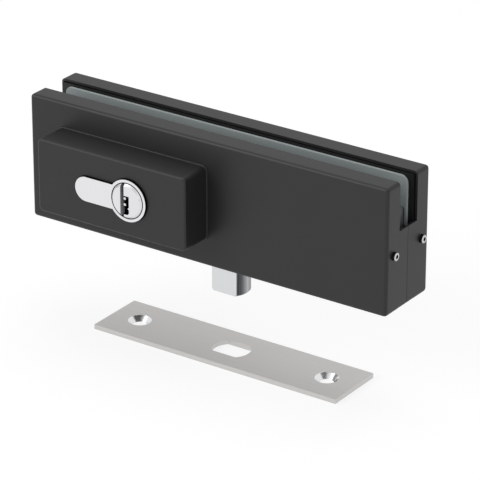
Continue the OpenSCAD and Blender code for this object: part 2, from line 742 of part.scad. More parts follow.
// Bolt: a round bar with two flats, slotted at the top for its tail
module bolt() {
    chamfer = 0.6;
    color("#c4c5c8") difference() {
        intersection() {
            translate([bolt_x, 0, bolt_bottom_z]) {
                cylinder(h = chamfer, r1 = bolt_r - chamfer, r2 = bolt_r);
                translate([0, 0, chamfer]) cylinder(h = bolt_top_z - bolt_bottom_z - chamfer, r = bolt_r);
            }
            translate([bolt_x - bolt_r - 1, -bolt_flats / 2, bolt_bottom_z - 1])
                cube([bolt_dia + 2, bolt_flats, bolt_top_z - bolt_bottom_z + 2]);
        }
        translate([bolt_x - bolt_r - 1, -tail_t / 2 - run_gap, arm_bottom_z - arm_clear])
            cube([bolt_dia + 2, tail_t + 2 * run_gap, bolt_top_z - arm_bottom_z + 1]);
        rivet_places() bar_y(-bolt_flats, bolt_flats, 0, 0, rivet_dia + 2 * thread_gap);
    }
}

module rivet_places() {
    for (s = [-1, 1]) translate([bolt_x + s * rivet_pitch / 2, 0, (arm_bottom_z + arm_top_z) / 2]) children();
}

// Tail: an arm in the bolt, and the notch that the cam's nose works in
module bolt_tail() {
    left_x = cyl_x + finger_x;
    color("#9fa0a3") difference() {
        across(-tail_t / 2, tail_t / 2) {
            translate([left_x, notch_z + notch_half]) square([tail_right_x - left_x, finger_top_t]);
            translate([left_x, tail_bottom_z]) square([tail_right_x - left_x, finger_low_t]);
            translate([tail_web_x, tail_bottom_z]) square([tail_web_t, tail_top_z - tail_bottom_z]);
            translate([tail_web_x, arm_bottom_z])
                square([bolt_x + bolt_r - 1 - tail_web_x, arm_top_z - arm_bottom_z]);
        }
        rivet_places() bar_y(-bolt_flats, bolt_flats, 0, 0, rivet_dia + 2 * thread_gap);
    }
}

module tail_rivets() {
    color("#b5b5b8") rivet_places() bar_y(-bolt_flats / 2 + 0.1, bolt_flats / 2 - 0.1, 0, 0, rivet_dia);
}

// Guide: a brass block with a bore for the bolt and a cross hole for the friction pad
module bolt_guide() {
    color("#c8a24a") difference() {
        translate([bolt_x - guide_half_x, -guide_half_y, guide_bottom_z])
            cube([2 * guide_half_x, 2 * guide_half_y, guide_h]);
        intersection() {
            bar_z(guide_bottom_z - cut, guide_top_z + cut, bolt_x, 0, 2 * (bolt_r + run_gap));
            translate([bolt_x - bolt_r - 1, -bolt_flats / 2 - run_gap, guide_bottom_z - 1])
                cube([bolt_dia + 2, bolt_flats + 2 * run_gap, guide_h + 2]);
        }
        bar_y(-guide_half_y - cut, 0, bolt_x, pad_z, pad_dia + slide_gap);
    }
}

module friction_pad() {
    y = -bolt_flats / 2 - run_gap;
    color("#e6e2d6") bar_y(y - pad_l, y, bolt_x, pad_z, pad_dia);
}

module pad_spring() {
    y = -bolt_flats / 2 - run_gap - pad_l - 0.02;
    back_y = -clamp_back_y + pad_screw_l + 0.02;
    color("#9a9a9c") translate([bolt_x, y, pad_z]) rotate([90, 0, 0])
        coil(pad_dia / 2 - pad_spring_wire, pad_spring_wire, y - back_y, pad_spring_turns, 8, 12);
}

module pad_screw() {
    color("#b5b5b8") difference() {
        bar_y(-clamp_back_y, -clamp_back_y + pad_screw_l, bolt_x, pad_z, pad_screw_dia);
        across(-clamp_back_y - cut, -clamp_back_y + pad_screw_l * 0.6) translate([bolt_x, pad_z]) hex(3);
    }
}

module strike_plate() {
    csk_h = (strike_csk_dia - strike_hole_dia) / 2;
    flat_half = bolt_flats / 2 + strike_flat_gap;
    color("#b9babc") translate([bolt_x, 0, strike_top_z - strike_t]) difference() {
        translate([-strike_l / 2, -strike_w / 2, 0]) cube([strike_l, strike_w, strike_t]);
        translate([0, 0, -cut]) intersection() {
            cylinder(h = strike_t + 2 * cut, r = strike_hole_r);
            translate([-bolt_dia, -flat_half, -1]) cube([2 * bolt_dia, 2 * flat_half, strike_t + 4]);
        }
        for (s = [-1, 1]) translate([s * strike_pitch / 2, 0, 0]) {
            bar_z(-cut, strike_t + cut, 0, 0, strike_hole_dia);
            translate([0, 0, strike_t - min(csk_h, strike_t - 0.4)])
                cylinder(h = min(csk_h, strike_t - 0.4), d1 = strike_hole_dia, d2 = strike_csk_dia);
        }
    }
}

front_cover();
rear_cover();
front_housing();
rear_housing();
front_clamp();
rear_clamp();
front_gasket();
rear_gasket();
clamp_screws();
end_screws();
housing_screws();
cylinder_body();
driver_pins();
pin_springs();
pin_caps();
cylinder_screw();
front_plug();
front_key_pins();
front_circlip();
cam();
clutch();
rear_plug();
rear_key_pins();
rear_circlip();
bolt();
bolt_tail();
tail_rivets();
bolt_guide();
friction_pad();
pad_spring();
pad_screw();
strike_plate();
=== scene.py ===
"""Glass door lock: detailed pieces and finishes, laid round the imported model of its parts."""

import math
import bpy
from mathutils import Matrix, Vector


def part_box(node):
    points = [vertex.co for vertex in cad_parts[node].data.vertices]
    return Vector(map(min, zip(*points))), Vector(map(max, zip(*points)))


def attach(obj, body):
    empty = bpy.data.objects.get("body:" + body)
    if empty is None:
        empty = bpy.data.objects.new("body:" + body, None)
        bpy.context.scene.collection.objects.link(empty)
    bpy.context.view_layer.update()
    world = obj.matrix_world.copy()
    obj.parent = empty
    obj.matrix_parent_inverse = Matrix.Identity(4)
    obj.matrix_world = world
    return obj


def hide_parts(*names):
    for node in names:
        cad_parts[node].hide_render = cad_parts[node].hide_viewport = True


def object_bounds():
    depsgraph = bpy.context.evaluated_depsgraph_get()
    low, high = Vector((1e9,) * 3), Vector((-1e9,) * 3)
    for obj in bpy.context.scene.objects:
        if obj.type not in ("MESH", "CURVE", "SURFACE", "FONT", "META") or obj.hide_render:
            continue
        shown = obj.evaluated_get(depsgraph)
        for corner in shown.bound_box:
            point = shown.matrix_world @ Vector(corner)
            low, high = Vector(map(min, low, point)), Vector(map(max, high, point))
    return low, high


bl_info = {
    "name": "Glass Door Lock",
    "version": (1, 0, 0),
    "blender": (4, 5, 0),
    "location": "View3D > Sidebar > Door Lock",
    "description": "Adds the shells, metalwork, gaskets and finishes of a glass door lock",
    "category": "Add Mesh",
}

import bmesh
import bpy
from bpy.props import FloatProperty, FloatVectorProperty, PointerProperty
from bpy.types import Operator, Panel, PropertyGroup
from mathutils import Matrix, Vector

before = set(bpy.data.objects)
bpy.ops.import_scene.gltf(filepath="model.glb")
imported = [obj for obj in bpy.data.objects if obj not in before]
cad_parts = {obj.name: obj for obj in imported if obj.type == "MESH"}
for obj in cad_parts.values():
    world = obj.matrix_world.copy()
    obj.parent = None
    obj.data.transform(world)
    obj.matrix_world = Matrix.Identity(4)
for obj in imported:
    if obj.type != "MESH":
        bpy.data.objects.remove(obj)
CAD_BOX = [list(corner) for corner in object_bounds()]

MM = 0.001
# Places of the axes in a vector
X, Y, Z = 0, 1, 2

# How much a cutter reaches past the faces that it cuts
PAST = 1 * MM
# How far the left wall of the slit in a plug's face stands from the cylinder's axis
SLIT_LEFT = 2.6 * MM
# Radius of the bores for the cylinder's pins
PIN_R = 1.45 * MM
# Number of sides of large and of small round shapes
SIDES = 96
SMALL_SIDES = 48
# Angle in degrees from which an edge counts as sharp, for rounding and shading
SHARP = 35
# Mirror images: behind the glass, and at the other end
BACK = Matrix.Scale(-1, 4, (0, 1, 0))
OTHER_END = Matrix.Scale(-1, 4, (1, 0, 0))


def srgb(code):
    """Linear red, green and blue of an sRGB colour that is written as six hexadecimal digits."""
    parts = [int(code[i:i + 2], 16) / 255 for i in (1, 3, 5)]
    return tuple(c / 12.92 if c <= 0.04045 else ((c + 0.055) / 1.055) ** 2.4 for c in parts)


def low(node):
    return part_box(node)[0]


def high(node):
    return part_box(node)[1]


def length(name, default, description):
    """A size in metres, given here in millimetres."""
    return FloatProperty(name=name, default=default * MM, min=0, precision=5, unit="LENGTH",
                         description=description)


def colour(name, code, description):
    return FloatVectorProperty(name=name, default=srgb(code), size=3, min=0, max=1, subtype="COLOR",
                               description=description)


class LockSizes(PropertyGroup):
    """Sizes of the details that the pieces get on top of the frame."""

    sheet: length("Cover sheet", 1, "Thickness of the covers' sheet")
    cover_corner: length("Cover corner", 1.5, "Radius of the covers' corners")
    cover_fillet: length("Cover fillet", 1.3, "Radius of the covers' front edges")
    housing_wall: length("Housing wall", 2, "Wall thickness of the raised housings")
    housing_corner: length("Housing corner", 2, "Radius of the housings' corners")
    housing_fillet: length("Housing fillet", 0.8, "Radius of the housings' front edges")
    foot_w: length("Foot width", 0.5, "How far the foot of a housing stands out round it")
    foot_h: length("Foot height", 0.5, "Height of the foot of a housing")
    foot_round: length("Foot edge", 0.3, "Radius of the edge of a housing's foot")
    paint_round: length("Paint edge", 0.14, "Radius that the coating gives a sharp edge")
    gasket_corner: length("Gasket corner", 3, "Radius of the gaskets' upper corners")
    gasket_round: length("Gasket edge", 0.35, "Radius of the gaskets' edges")
    profile_head: length("Profile head", 8.5, "Radius of the cylinder's round head")
    profile_lobe: length("Profile lobe", 5, "Radius of the cylinder's lobe")
    window_gap: length("Window gap", 0.25, "Gap between the cylinder and its windows")
    profile_bevel: length("Profile bevel", 0.3, "Bevel round the cylinder's end faces")
    plug_gap: length("Plug gap", 0.4, "Gap that shows round the head of the plug")
    plug_bevel: length("Plug bevel", 0.75, "Bevel round the head of the plug")
    plug_edge: length("Plug edge", 0.12, "Radius of the keyway's edges")
    gasket_end: length("Gasket end", 1.4, "Width of the gaskets beside the ends of the block")
    gasket_band: length("Gasket band", 12.8, "Height of the gaskets over the block")
    gasket_arch: length("Gasket arch", 5.6, "Height of the gaskets over the raised part of the block")
    bolt_chamfer: length("Bolt chamfer", 0.6, "Chamfer of the bolt's lower end")
    bolt_round: length("Bolt edge", 0.15, "Radius of the bolt's edges")
    strike_round: length("Strike edge", 0.15, "Radius of the strike plate's edges")
    screw_hex: length("Set screw socket", 1.5, "Width across flats of the set screws' sockets")
    screw_dome: length("Set screw dome", 0.35, "Radius of the set screws' outer ends")


class LockColours(PropertyGroup):
    """Colours of the finishes."""

    coating: colour("Coating", "#202021", "Powder coat of the covers and housings")
    coating_light: colour("Coating light", "#252526", "Lighter patches of the powder coat")
    die_cast: colour("Die casting", "#131314", "Black paint of the clamps")
    fibre: colour("Gasket", "#8C9393", "Fibre gasket against the glass")
    fibre_light: colour("Gasket light", "#9BA2A2", "Lighter fibres of the gasket")
    nickel: colour("Nickel", "#E6E6E8", "Satin nickel plate of the cylinder")
    steel: colour("Stainless steel", "#D5D3D1", "Brushed stainless steel of the strike plate")
    steel_dark: colour("Stainless steel grain", "#C3C1BF", "Dark lines of the brushed steel")
    bolt_steel: colour("Bolt steel", "#DDDEE0", "Milled stainless steel of the bolt")
    # Painted reflection on the bolt's round sides: bright in the middle, dark beside the flats
    painted_reflection_bright: colour("Drawn steel", "#B2B3B6", "The bolt's round sides, where the guide rubs them")
    painted_reflection_dark: colour("Drawn skin", "#58595B", "The bolt's round sides next to the flats")
    # Painted light: the grey of the front clamp's block in the shaded slot
    block: colour("Block", "#6A6B6C", "Front clamp with the block that fills the cut-out in the glass")
    slit: colour("Slit", "#B4B4B6", "Matt walls of the broached slit in a plug's face")
    # Dark grey for painted shade: the set screws' sides, and darker still in the keyway and on the cylinder's
    # sides
    painted_shade_grey: colour("Blackened steel", "#39393A", "Blackened sides of the set screws")
    zinc: colour("Zinc plate", "#B8BABD", "Zinc plate of the screws")
    brass: colour("Brass", "#C9A24B", "Brass of the pins and the bolt guide")
    plastic: colour("Acetal", "#E4E1D8", "Acetal of the friction pad")
    floor: colour("Floor", "#F4F4F4", "Pale floor")


def sizes():
    return bpy.context.scene.lock_sizes


def middle_of(node):
    return (high(node) + low(node)) / 2


def axis_place():
    """Where the cylinder's axis stands, in X and Z."""
    top = high("cylinder_body")
    return top.x - sizes().profile_head, top.z - sizes().profile_head


def on_axis():
    """A place on the cylinder's axis."""
    x, z = axis_place()
    return x, 0, z


def off_axis(place, axis):
    """Distance of a place from the cylinder's axis, which is given by its X and Z."""
    return math.hypot(place.x - axis[0], place.z - axis[1])


def deselect():
    bpy.ops.object.select_all(action="DESELECT")


def activate(piece):
    deselect()
    piece.select_set(True)
    bpy.context.view_layer.objects.active = piece


def settle(name):
    """Names the new primitive and puts its place, turn and scale into its mesh."""
    piece = bpy.context.object
    piece.name = piece.data.name = name
    bpy.ops.object.transform_apply(location=True, rotation=True, scale=True)
    return piece


def add_box(name, corner, opposite):
    deselect()
    corner, opposite = Vector(corner), Vector(opposite)
    bpy.ops.mesh.primitive_cube_add(size=1, location=(corner + opposite) / 2, scale=opposite - corner)
    return settle(name)


def add_bar(name, start, end, radius, end_radius=None, sides=SIDES):
    """A round bar, or a cone where it has an end radius, from one place to another."""
    deselect()
    start, end = Vector(start), Vector(end)
    turn = (end - start).to_track_quat("Z", "Y").to_euler()
    bpy.ops.mesh.primitive_cone_add(vertices=sides, radius1=radius, depth=(end - start).length,
                                    radius2=radius if end_radius is None else end_radius,
                                    location=(start + end) / 2, rotation=turn)
    return settle(name)


def edit(piece):
    activate(piece)
    bpy.ops.object.mode_set(mode="EDIT")


def leave_edit():
    bpy.ops.object.mode_set(mode="OBJECT")


def middle(part):
    return sum((vertex.co for vertex in part.verts), Vector()) / len(part.verts)


def along(edge, axis):
    """Whether an edge runs along an axis."""
    return abs((edge.verts[1].co - edge.verts[0].co).normalized()[axis]) > 0.999


def near(value, place, reach=0.01 * MM):
    return abs(value - place) < reach


def select(kind, test):
    """Selects, in edit mode, only the faces or edges that pass a test of their place or normal."""
    bpy.ops.mesh.select_mode(type=kind)
    bpy.ops.mesh.select_all(action="DESELECT")
    mesh = bmesh.from_edit_mesh(bpy.context.edit_object.data)
    for part in mesh.faces if kind == "FACE" else mesh.edges:
        if test(part):
            part.select_set(True)
    bmesh.update_edit_mesh(bpy.context.edit_object.data)


def split_at(place, normal):
    """Cuts new edges through the whole mesh in edit mode where a plane meets it."""
    bpy.ops.mesh.select_all(action="SELECT")
    bpy.ops.mesh.bisect(plane_co=place, plane_no=normal)


def trim_sides(half_w):
    """Cuts a mesh in edit mode off flat, at the same distance on both sides of Y = 0."""
    for side in (-1, 1):
        bpy.ops.mesh.select_all(action="SELECT")
        bpy.ops.mesh.bisect(plane_co=(0, side * half_w, 0), plane_no=(0, side, 0), clear_outer=True,
                            use_fill=True)


def pull(distance):
    """Extrudes the selected faces by a vector."""
    bpy.ops.mesh.extrude_region_move(TRANSFORM_OT_translate={"value": distance})


def apply(piece, modifier):
    activate(piece)
    bpy.ops.object.modifier_apply(modifier=modifier.name)


def combine(piece, operation, tools):
    """Cuts other solids out of a piece, or joins them to it, and removes them."""
    for tool in tools:
        step = piece.modifiers.new(operation, "BOOLEAN")
        step.operation, step.solver, step.object = operation, "EXACT", tool
        apply(piece, step)
        bpy.data.objects.remove(tool)


def cut(piece, *tools):
    combine(piece, "DIFFERENCE", tools)


def drill(piece, start, end, radius):
    """Cuts a small round hole from one place to another."""
    cut(piece, add_bar("hole", start, end, radius, sides=SMALL_SIDES))


def join(piece, *tools):
    combine(piece, "UNION", tools)


def round_edges(piece, radius, segments=2, angle=SHARP):
    step = piece.modifiers.new("round", "BEVEL")
    step.width, step.segments = radius, segments
    step.limit_method, step.angle_limit = "ANGLE", math.radians(angle)
    apply(piece, step)


def dress(piece, body, slot, look, *nodes):
    """Gives a finished piece its shading and finish, hides the CAD nodes that it stands for, and hangs it on
    the body that it rides on.
    """
    edit(piece)
    bpy.ops.mesh.select_all(action="SELECT")
    same_place = 0.002 * MM
    bpy.ops.mesh.remove_doubles(threshold=same_place)
    bpy.ops.mesh.normals_make_consistent(inside=False)
    leave_edit()
    bpy.ops.object.shade_smooth_by_angle(angle=math.radians(SHARP))
    step = piece.modifiers.new("normals", "WEIGHTED_NORMAL")
    step.keep_sharp = True
    apply(piece, step)
    piece.data.materials.clear()
    piece.data.materials.append(look)
    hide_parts(*nodes)
    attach(piece, body)


def finish_where(piece, other, test):
    """Gives the faces that pass a test one more finish."""
    piece.data.materials.append(other)
    for face in piece.data.polygons:
        if test(face):
            face.material_index = len(piece.data.materials) - 1


def round_weighted(piece, radius, segments, *tests):
    """Rounds the edges that pass a test, each by its own share of a radius."""
    edit(piece)
    mesh = bmesh.from_edit_mesh(piece.data)
    weight = mesh.edges.layers.float.new("bevel_weight_edge")
    for edge in mesh.edges:
        for share, test in tests:
            if test(edge):
                edge[weight] = share
    bmesh.update_edit_mesh(piece.data)
    leave_edit()
    step = piece.modifiers.new("round", "BEVEL")
    step.width, step.segments, step.limit_method = radius, segments, "WEIGHT"
    apply(piece, step)


def copy_of(piece, name, matrix):
    """A copy of a piece with a mesh of its own, moved by a matrix."""
    twin = piece.copy()
    twin.data = piece.data.copy()
    twin.name = twin.data.name = name
    twin.data.transform(matrix)
    bpy.context.scene.collection.objects.link(twin)
    return twin


def add_node(tree, kind, inputs=None, **settings):
    """Adds a node. An input is given by its name or place, and is a value or another node's output."""
    node = tree.nodes.new(kind)
    for name, value in settings.items():
        setattr(node, name, value)
    for name, value in (inputs or {}).items():
        if isinstance(value, bpy.types.NodeSocket):
            tree.links.new(value, node.inputs[name])
        else:
            node.inputs[name].default_value = value
    return node


def white_rays(tree):
    """One for the rays that see the white background: the camera's, and those of gloss and glass."""
    ray = add_node(tree, "ShaderNodeLightPath")
    seen = ray.outputs["Is Camera Ray"]
    for kind in ("Is Glossy Ray", "Is Transmission Ray"):
        either = add_node(tree, "ShaderNodeMath", {0: seen, 1: ray.outputs[kind]}, operation="MAXIMUM")
        seen = either.outputs[0]
    return seen


def rgba(value):
    return (*value, 1)


def shade(value, factor):
    return tuple(min(1, c * factor) for c in value)


def per(size):
    """Scale of a pattern whose features have a size in millimetres."""
    return 1 / (size * MM)


def new_material(name):
    """An empty material, its node tree and the place of each point on the piece."""
    made = bpy.data.materials.new(name)
    made.use_nodes = True
    tree = made.node_tree
    tree.nodes.clear()
    return made, tree, add_node(tree, "ShaderNodeTexCoord").outputs["Object"]


def close_material(tree, shader):
    add_node(tree, "ShaderNodeOutputMaterial", {"Surface": shader.outputs[0]})


def powder_coat(name, base, light, grain):
    """Powder coat, sprayed and baked: satin, with a faint cloudiness and an orange peel of a grain in mm."""
    made, tree, place = new_material(name)
    cloud_w = 14
    cloud = add_node(tree, "ShaderNodeTexNoise", {"Vector": place, "Scale": per(cloud_w), "Detail": 3})
    tint = add_node(tree, "ShaderNodeMix", {0: cloud.outputs["Fac"], 6: rgba(base), 7: rgba(light)},
                    data_type="RGBA")
    peel = add_node(tree, "ShaderNodeTexNoise", {"Vector": place, "Scale": per(grain), "Detail": 2})
    gloss = add_node(tree, "ShaderNodeMapRange", {"Value": peel.outputs["Fac"], "To Min": 0.38,
                                                  "To Max": 0.48})
    bump = add_node(tree, "ShaderNodeBump", {"Height": peel.outputs["Fac"], "Strength": 0.12,
                                             "Distance": 0.03 * MM})
    shader = add_node(tree, "ShaderNodeBsdfPrincipled",
                      {"Base Color": tint.outputs[2], "Roughness": gloss.outputs[0],
                       "Normal": bump.outputs[0], "Specular IOR Level": 0.38, "IOR": 1.5})
    close_material(tree, shader)
    return made


def gasket_fibre(name, base, light):
    """Vulcanised fibre gasket, punched from sheet: matt, mottled by its fibres."""
    made, tree, place = new_material(name)
    fibre_l = 1.2
    fibres = add_node(tree, "ShaderNodeTexNoise", {"Vector": place, "Scale": per(fibre_l), "Detail": 6,
                                                   "Roughness": 0.65})
    tint = add_node(tree, "ShaderNodeMix", {0: fibres.outputs["Fac"], 6: rgba(base), 7: rgba(light)},
                    data_type="RGBA")
    bump = add_node(tree, "ShaderNodeBump", {"Height": fibres.outputs["Fac"], "Strength": 0.15,
                                             "Distance": 0.05 * MM})
    shader = add_node(tree, "ShaderNodeBsdfPrincipled",
                      {"Base Color": tint.outputs[2], "Roughness": 0.62, "Normal": bump.outputs[0]})
    close_material(tree, shader)
    return made


def brushed_metal(name, base, dark, stretch, spacing, roughness, metallic=1):
    """Metal with the straight lines of a belt, a mill or a draw bench, stretched along one axis."""
    made, tree, place = new_material(name)
    line_l = 30
    scale = [per(line_l) if axis == stretch else per(spacing) for axis in (X, Y, Z)]
    lined = add_node(tree, "ShaderNodeMapping", {"Vector": place, "Scale": scale})
    lines = add_node(tree, "ShaderNodeTexNoise", {"Vector": lined.outputs[0], "Scale": 1, "Detail": 4})
    tint = add_node(tree, "ShaderNodeMix", {0: lines.outputs["Fac"], 6: rgba(dark), 7: rgba(base)},
                    data_type="RGBA")
    gloss = add_node(tree, "ShaderNodeMapRange", {"Value": lines.outputs["Fac"], "To Min": roughness - 0.05,
                                                  "To Max": roughness + 0.07})
    bump = add_node(tree, "ShaderNodeBump", {"Height": lines.outputs["Fac"], "Strength": 0.08,
                                             "Distance": 0.02 * MM})
    shader = add_node(tree, "ShaderNodeBsdfPrincipled",
                      {"Base Color": tint.outputs[2], "Metallic": metallic, "Roughness": gloss.outputs[0],
                       "Normal": bump.outputs[0]})
    close_material(tree, shader)
    return made


def reflection_painted_metal(name, skin, bright, half_width, spacing, roughness):
    """Drawn bar with streaked lines along Z and a painted reflection: dark beside the flats, bright within a
    distance of the middle.
    """
    made, tree, place = new_material(name)
    line_l, fray = 60, 1.5 * MM
    dark_y, bright_y = (half_width + 1.3) * MM, (half_width - 1.8) * MM
    lined = add_node(tree, "ShaderNodeMapping",
                     {"Vector": place, "Scale": (per(spacing), per(spacing), per(line_l))})
    lines = add_node(tree, "ShaderNodeTexNoise", {"Vector": lined.outputs[0], "Scale": 1, "Detail": 3})
    parts = add_node(tree, "ShaderNodeSeparateXYZ", {0: place})
    away = add_node(tree, "ShaderNodeMath", {0: parts.outputs[Y]}, operation="ABSOLUTE")
    ragged = add_node(tree, "ShaderNodeMath", {0: lines.outputs["Fac"], 1: fray, 2: away.outputs[0]},
                      operation="MULTIPLY_ADD")
    # Painted reflection: bright in the middle, dark towards the flats
    reflection_mask = add_node(tree, "ShaderNodeMapRange", {"Value": ragged.outputs[0], "From Min": dark_y,
                                                   "From Max": bright_y})
    streak = add_node(tree, "ShaderNodeMapRange", {"Value": lines.outputs["Fac"], "From Min": 0.42,
                                                   "From Max": 0.58})
    dark = add_node(tree, "ShaderNodeMix", {0: streak.outputs[0], 6: rgba(shade(skin, 0.5)),
                                            7: rgba(shade(skin, 1.5))}, data_type="RGBA")
    tint = add_node(tree, "ShaderNodeMix", {0: reflection_mask.outputs[0], 6: dark.outputs[2], 7: rgba(bright)},
                    data_type="RGBA")
    shader = add_node(tree, "ShaderNodeBsdfPrincipled",
                      {"Base Color": tint.outputs[2], "Metallic": 1, "Roughness": roughness})
    close_material(tree, shader)
    return made


def turned_metal(name, base, dark, centre, axis, spacing, roughness):
    """Metal with the rings that a lathe leaves round an axis."""
    made, tree, place = new_material(name)
    from_axis = [0 if i == axis else 1 for i in (X, Y, Z)]
    shift = [-centre[i] * from_axis[i] for i in (X, Y, Z)]
    centred = add_node(tree, "ShaderNodeMapping", {"Vector": place, "Location": shift, "Scale": from_axis})
    radius = add_node(tree, "ShaderNodeVectorMath", {0: centred.outputs[0]}, operation="LENGTH")
    along_axis = add_node(tree, "ShaderNodeSeparateXYZ", {0: place})
    path = add_node(tree, "ShaderNodeMath", {0: radius.outputs["Value"], 1: along_axis.outputs[axis]},
                    operation="ADD")
    rings = add_node(tree, "ShaderNodeTexNoise", {"W": path.outputs[0], "Scale": per(spacing), "Detail": 3},
                     noise_dimensions="1D")
    tint = add_node(tree, "ShaderNodeMix", {0: rings.outputs["Fac"], 6: rgba(dark), 7: rgba(base)},
                    data_type="RGBA")
    gloss = add_node(tree, "ShaderNodeMapRange", {"Value": rings.outputs["Fac"], "To Min": roughness - 0.04,
                                                  "To Max": roughness + 0.06})
    bump = add_node(tree, "ShaderNodeBump", {"Height": rings.outputs["Fac"], "Strength": 0.1,
                                             "Distance": 0.02 * MM})
    shader = add_node(tree, "ShaderNodeBsdfPrincipled",
                      {"Base Color": tint.outputs[2], "Metallic": 1, "Roughness": gloss.outputs[0],
                       "Normal": bump.outputs[0]})
    close_material(tree, shader)
    return made


def moulded_plastic(name, base, light):
    """Moulded acetal: slightly waxy, with a faint flow pattern."""
    made, tree, place = new_material(name)
    flow_w = 3
    flow = add_node(tree, "ShaderNodeTexNoise", {"Vector": place, "Scale": per(flow_w), "Detail": 2})
    tint = add_node(tree, "ShaderNodeMix", {0: flow.outputs["Fac"], 6: rgba(base), 7: rgba(light)},
                    data_type="RGBA")
    shader = add_node(tree, "ShaderNodeBsdfPrincipled",
                      {"Base Color": tint.outputs[2], "Roughness": 0.4, "IOR": 1.48})
    close_material(tree, shader)
    return made


# Each finish by its name. Spacings of lines are in mm: real brush, mill and lathe lines stand under 0.1 mm
# apart, too fine to show in the render, so they are drawn 0.2 to 0.55 mm apart.
RECIPES = {
    # Baked powder coat: a satin near-black that takes soft, pale reflections
    "powder_coated_steel": lambda n, c: powder_coat(n, c.coating, c.coating_light, grain=0.5),
    # Black paint on a rough casting: darker and coarser than the coat round it
    "painted_die_casting": lambda n, c: powder_coat(n, c.die_cast, shade(c.die_cast, 1.3), grain=0.8),
    # The same die casting as the rear clamp, painted a middle grey: painted light on the front clamp's block
    # in the shaded slot
    "die_casting_painted_light": lambda n, c: powder_coat(n, c.block, shade(c.block, 1.2), grain=0.8),
    # Fibre sheet: matt blue-grey, mottled at close range
    "vulcanised_fibre": lambda n, c: gasket_fibre(n, c.fibre, c.fibre_light),
    # Satin nickel plate: bright and even, with soft upright lines
    "satin_nickel": lambda n, c: brushed_metal(
        n, c.nickel, shade(c.nickel, 0.94), Z, spacing=0.3, roughness=0.3),
    # Turned and plated: bright, with faint rings round the plug's middle
    "turned_nickel": lambda n, c: turned_metal(
        n, c.nickel, shade(c.nickel, 0.9), on_axis(), Y, spacing=0.4, roughness=0.25),
    # Belt-brushed sheet: warm grey with long lines along the plate
    "brushed_stainless_steel": lambda n, c: brushed_metal(
        n, c.steel, c.steel_dark, X, spacing=0.35, roughness=0.38),
    # Milled flats: pale and even, with faint lines along the bolt
    "milled_stainless_steel": lambda n, c: brushed_metal(
        n, c.bolt_steel, shade(c.bolt_steel, 0.94), Z, spacing=0.4, roughness=0.32),
    # Drawn bar with streaked lines, and a painted reflection: dark beside the flats and bright in the middle
    "bolt_side_painted_reflection": lambda n, c: reflection_painted_metal(
        n, c.painted_reflection_dark, c.painted_reflection_bright, half_width=2.5, spacing=0.55, roughness=0.25),
    # Dark sides under the set screws' bright ends: painted shade
    "screw_side_painted_shade": lambda n, c: brushed_metal(
        n, c.painted_shade_grey, shade(c.painted_shade_grey, 0.7), X, spacing=0.4, roughness=0.4),
    # Brass deep in the keyway painted almost black as painted shade, so that the opening reads as a hole
    "brass_painted_shade": lambda n, c: brushed_metal(
        n, shade(c.painted_shade_grey, 0.25), shade(c.painted_shade_grey, 0.1), Y, spacing=0.4, roughness=0.5),
    # Broached wall of the slit: matt grey, without reflections
    "broached_brass": lambda n, c: brushed_metal(
        n, c.slit, shade(c.slit, 0.7), Z, spacing=0.4, roughness=0.6, metallic=0),
    # Painted shade on the sides of the cylinder and of the plugs' heads: a black line round the bright face
    "side_painted_shade": lambda n, c: brushed_metal(
        n, shade(c.painted_shade_grey, 0.5), shade(c.painted_shade_grey, 0.3), Y, spacing=0.4, roughness=0.55),
    # Turned screw ends: small bright rings
    "bright_steel": lambda n, c: turned_metal(
        n, shade(c.nickel, 0.75), shade(c.nickel, 0.65), middle_of("end_screws"), X, spacing=0.2,
        roughness=0.16),
    # Fresh cut of the countersink: nearly white against the brushed plate
    "bright_countersink": lambda n, c: brushed_metal(
        n, shade(c.nickel, 1.25), shade(c.nickel, 1.15), X, spacing=0.3, roughness=0.22),
    # Zinc plate: cool, slightly dull grey on the screws
    "zinc_plated_steel": lambda n, c: brushed_metal(
        n, c.zinc, shade(c.zinc, 0.85), Y, spacing=0.4, roughness=0.3),
    # Hardened, ground steel: darker than zinc, half gloss
    "hardened_steel": lambda n, c: brushed_metal(
        n, shade(c.zinc, 0.8), shade(c.zinc, 0.6), Y, spacing=0.3, roughness=0.35),
    # Drawn spring wire: dark and glossy
    "spring_steel": lambda n, c: brushed_metal(
        n, shade(c.zinc, 0.75), shade(c.zinc, 0.5), Z, spacing=0.2, roughness=0.28),
    # Machined brass: warm yellow, with fine lines
    "machined_brass": lambda n, c: brushed_metal(
        n, c.brass, shade(c.brass, 0.8), Z, spacing=0.3, roughness=0.3),
    # Moulded acetal: waxy off-white
    "moulded_acetal": lambda n, c: moulded_plastic(n, c.plastic, shade(c.plastic, 1.05)),
}
FINISHES = {}


def finish(name):
    """A finish by name, made when it is first asked for."""
    if name not in FINISHES:
        FINISHES[name] = RECIPES[name](name, bpy.context.scene.lock_colours)
    return FINISHES[name]


def paint_nodes(finish_name, *nodes):
    """Gives CAD nodes that stay as they are a finish in place of their plain colour."""
    for node in nodes:
        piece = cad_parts[node]
        if not piece.material_slots:
            piece.data.materials.append(None)
        for slot in piece.material_slots:
            slot.material = finish(finish_name)


def add_profile(name, y_from, y_to, gap=0.0):
    """Solids that make up a euro profile between two planes: its head, its lobe and what lies between."""
    s = sizes()
    x, z = axis_place()
    lobe_x = low("cylinder_body").x + s.profile_lobe
    head = add_bar(name, (x, y_from, z), (x, y_to, z), s.profile_head + gap)
    lobe = add_bar(name + "_lobe", (lobe_x, y_from, z), (lobe_x, y_to, z), s.profile_lobe + gap)
    half = s.profile_lobe + gap
    body = add_box(name + "_body", (lobe_x, y_from, z - half), (x, y_to, z + half))
    return head, lobe, body


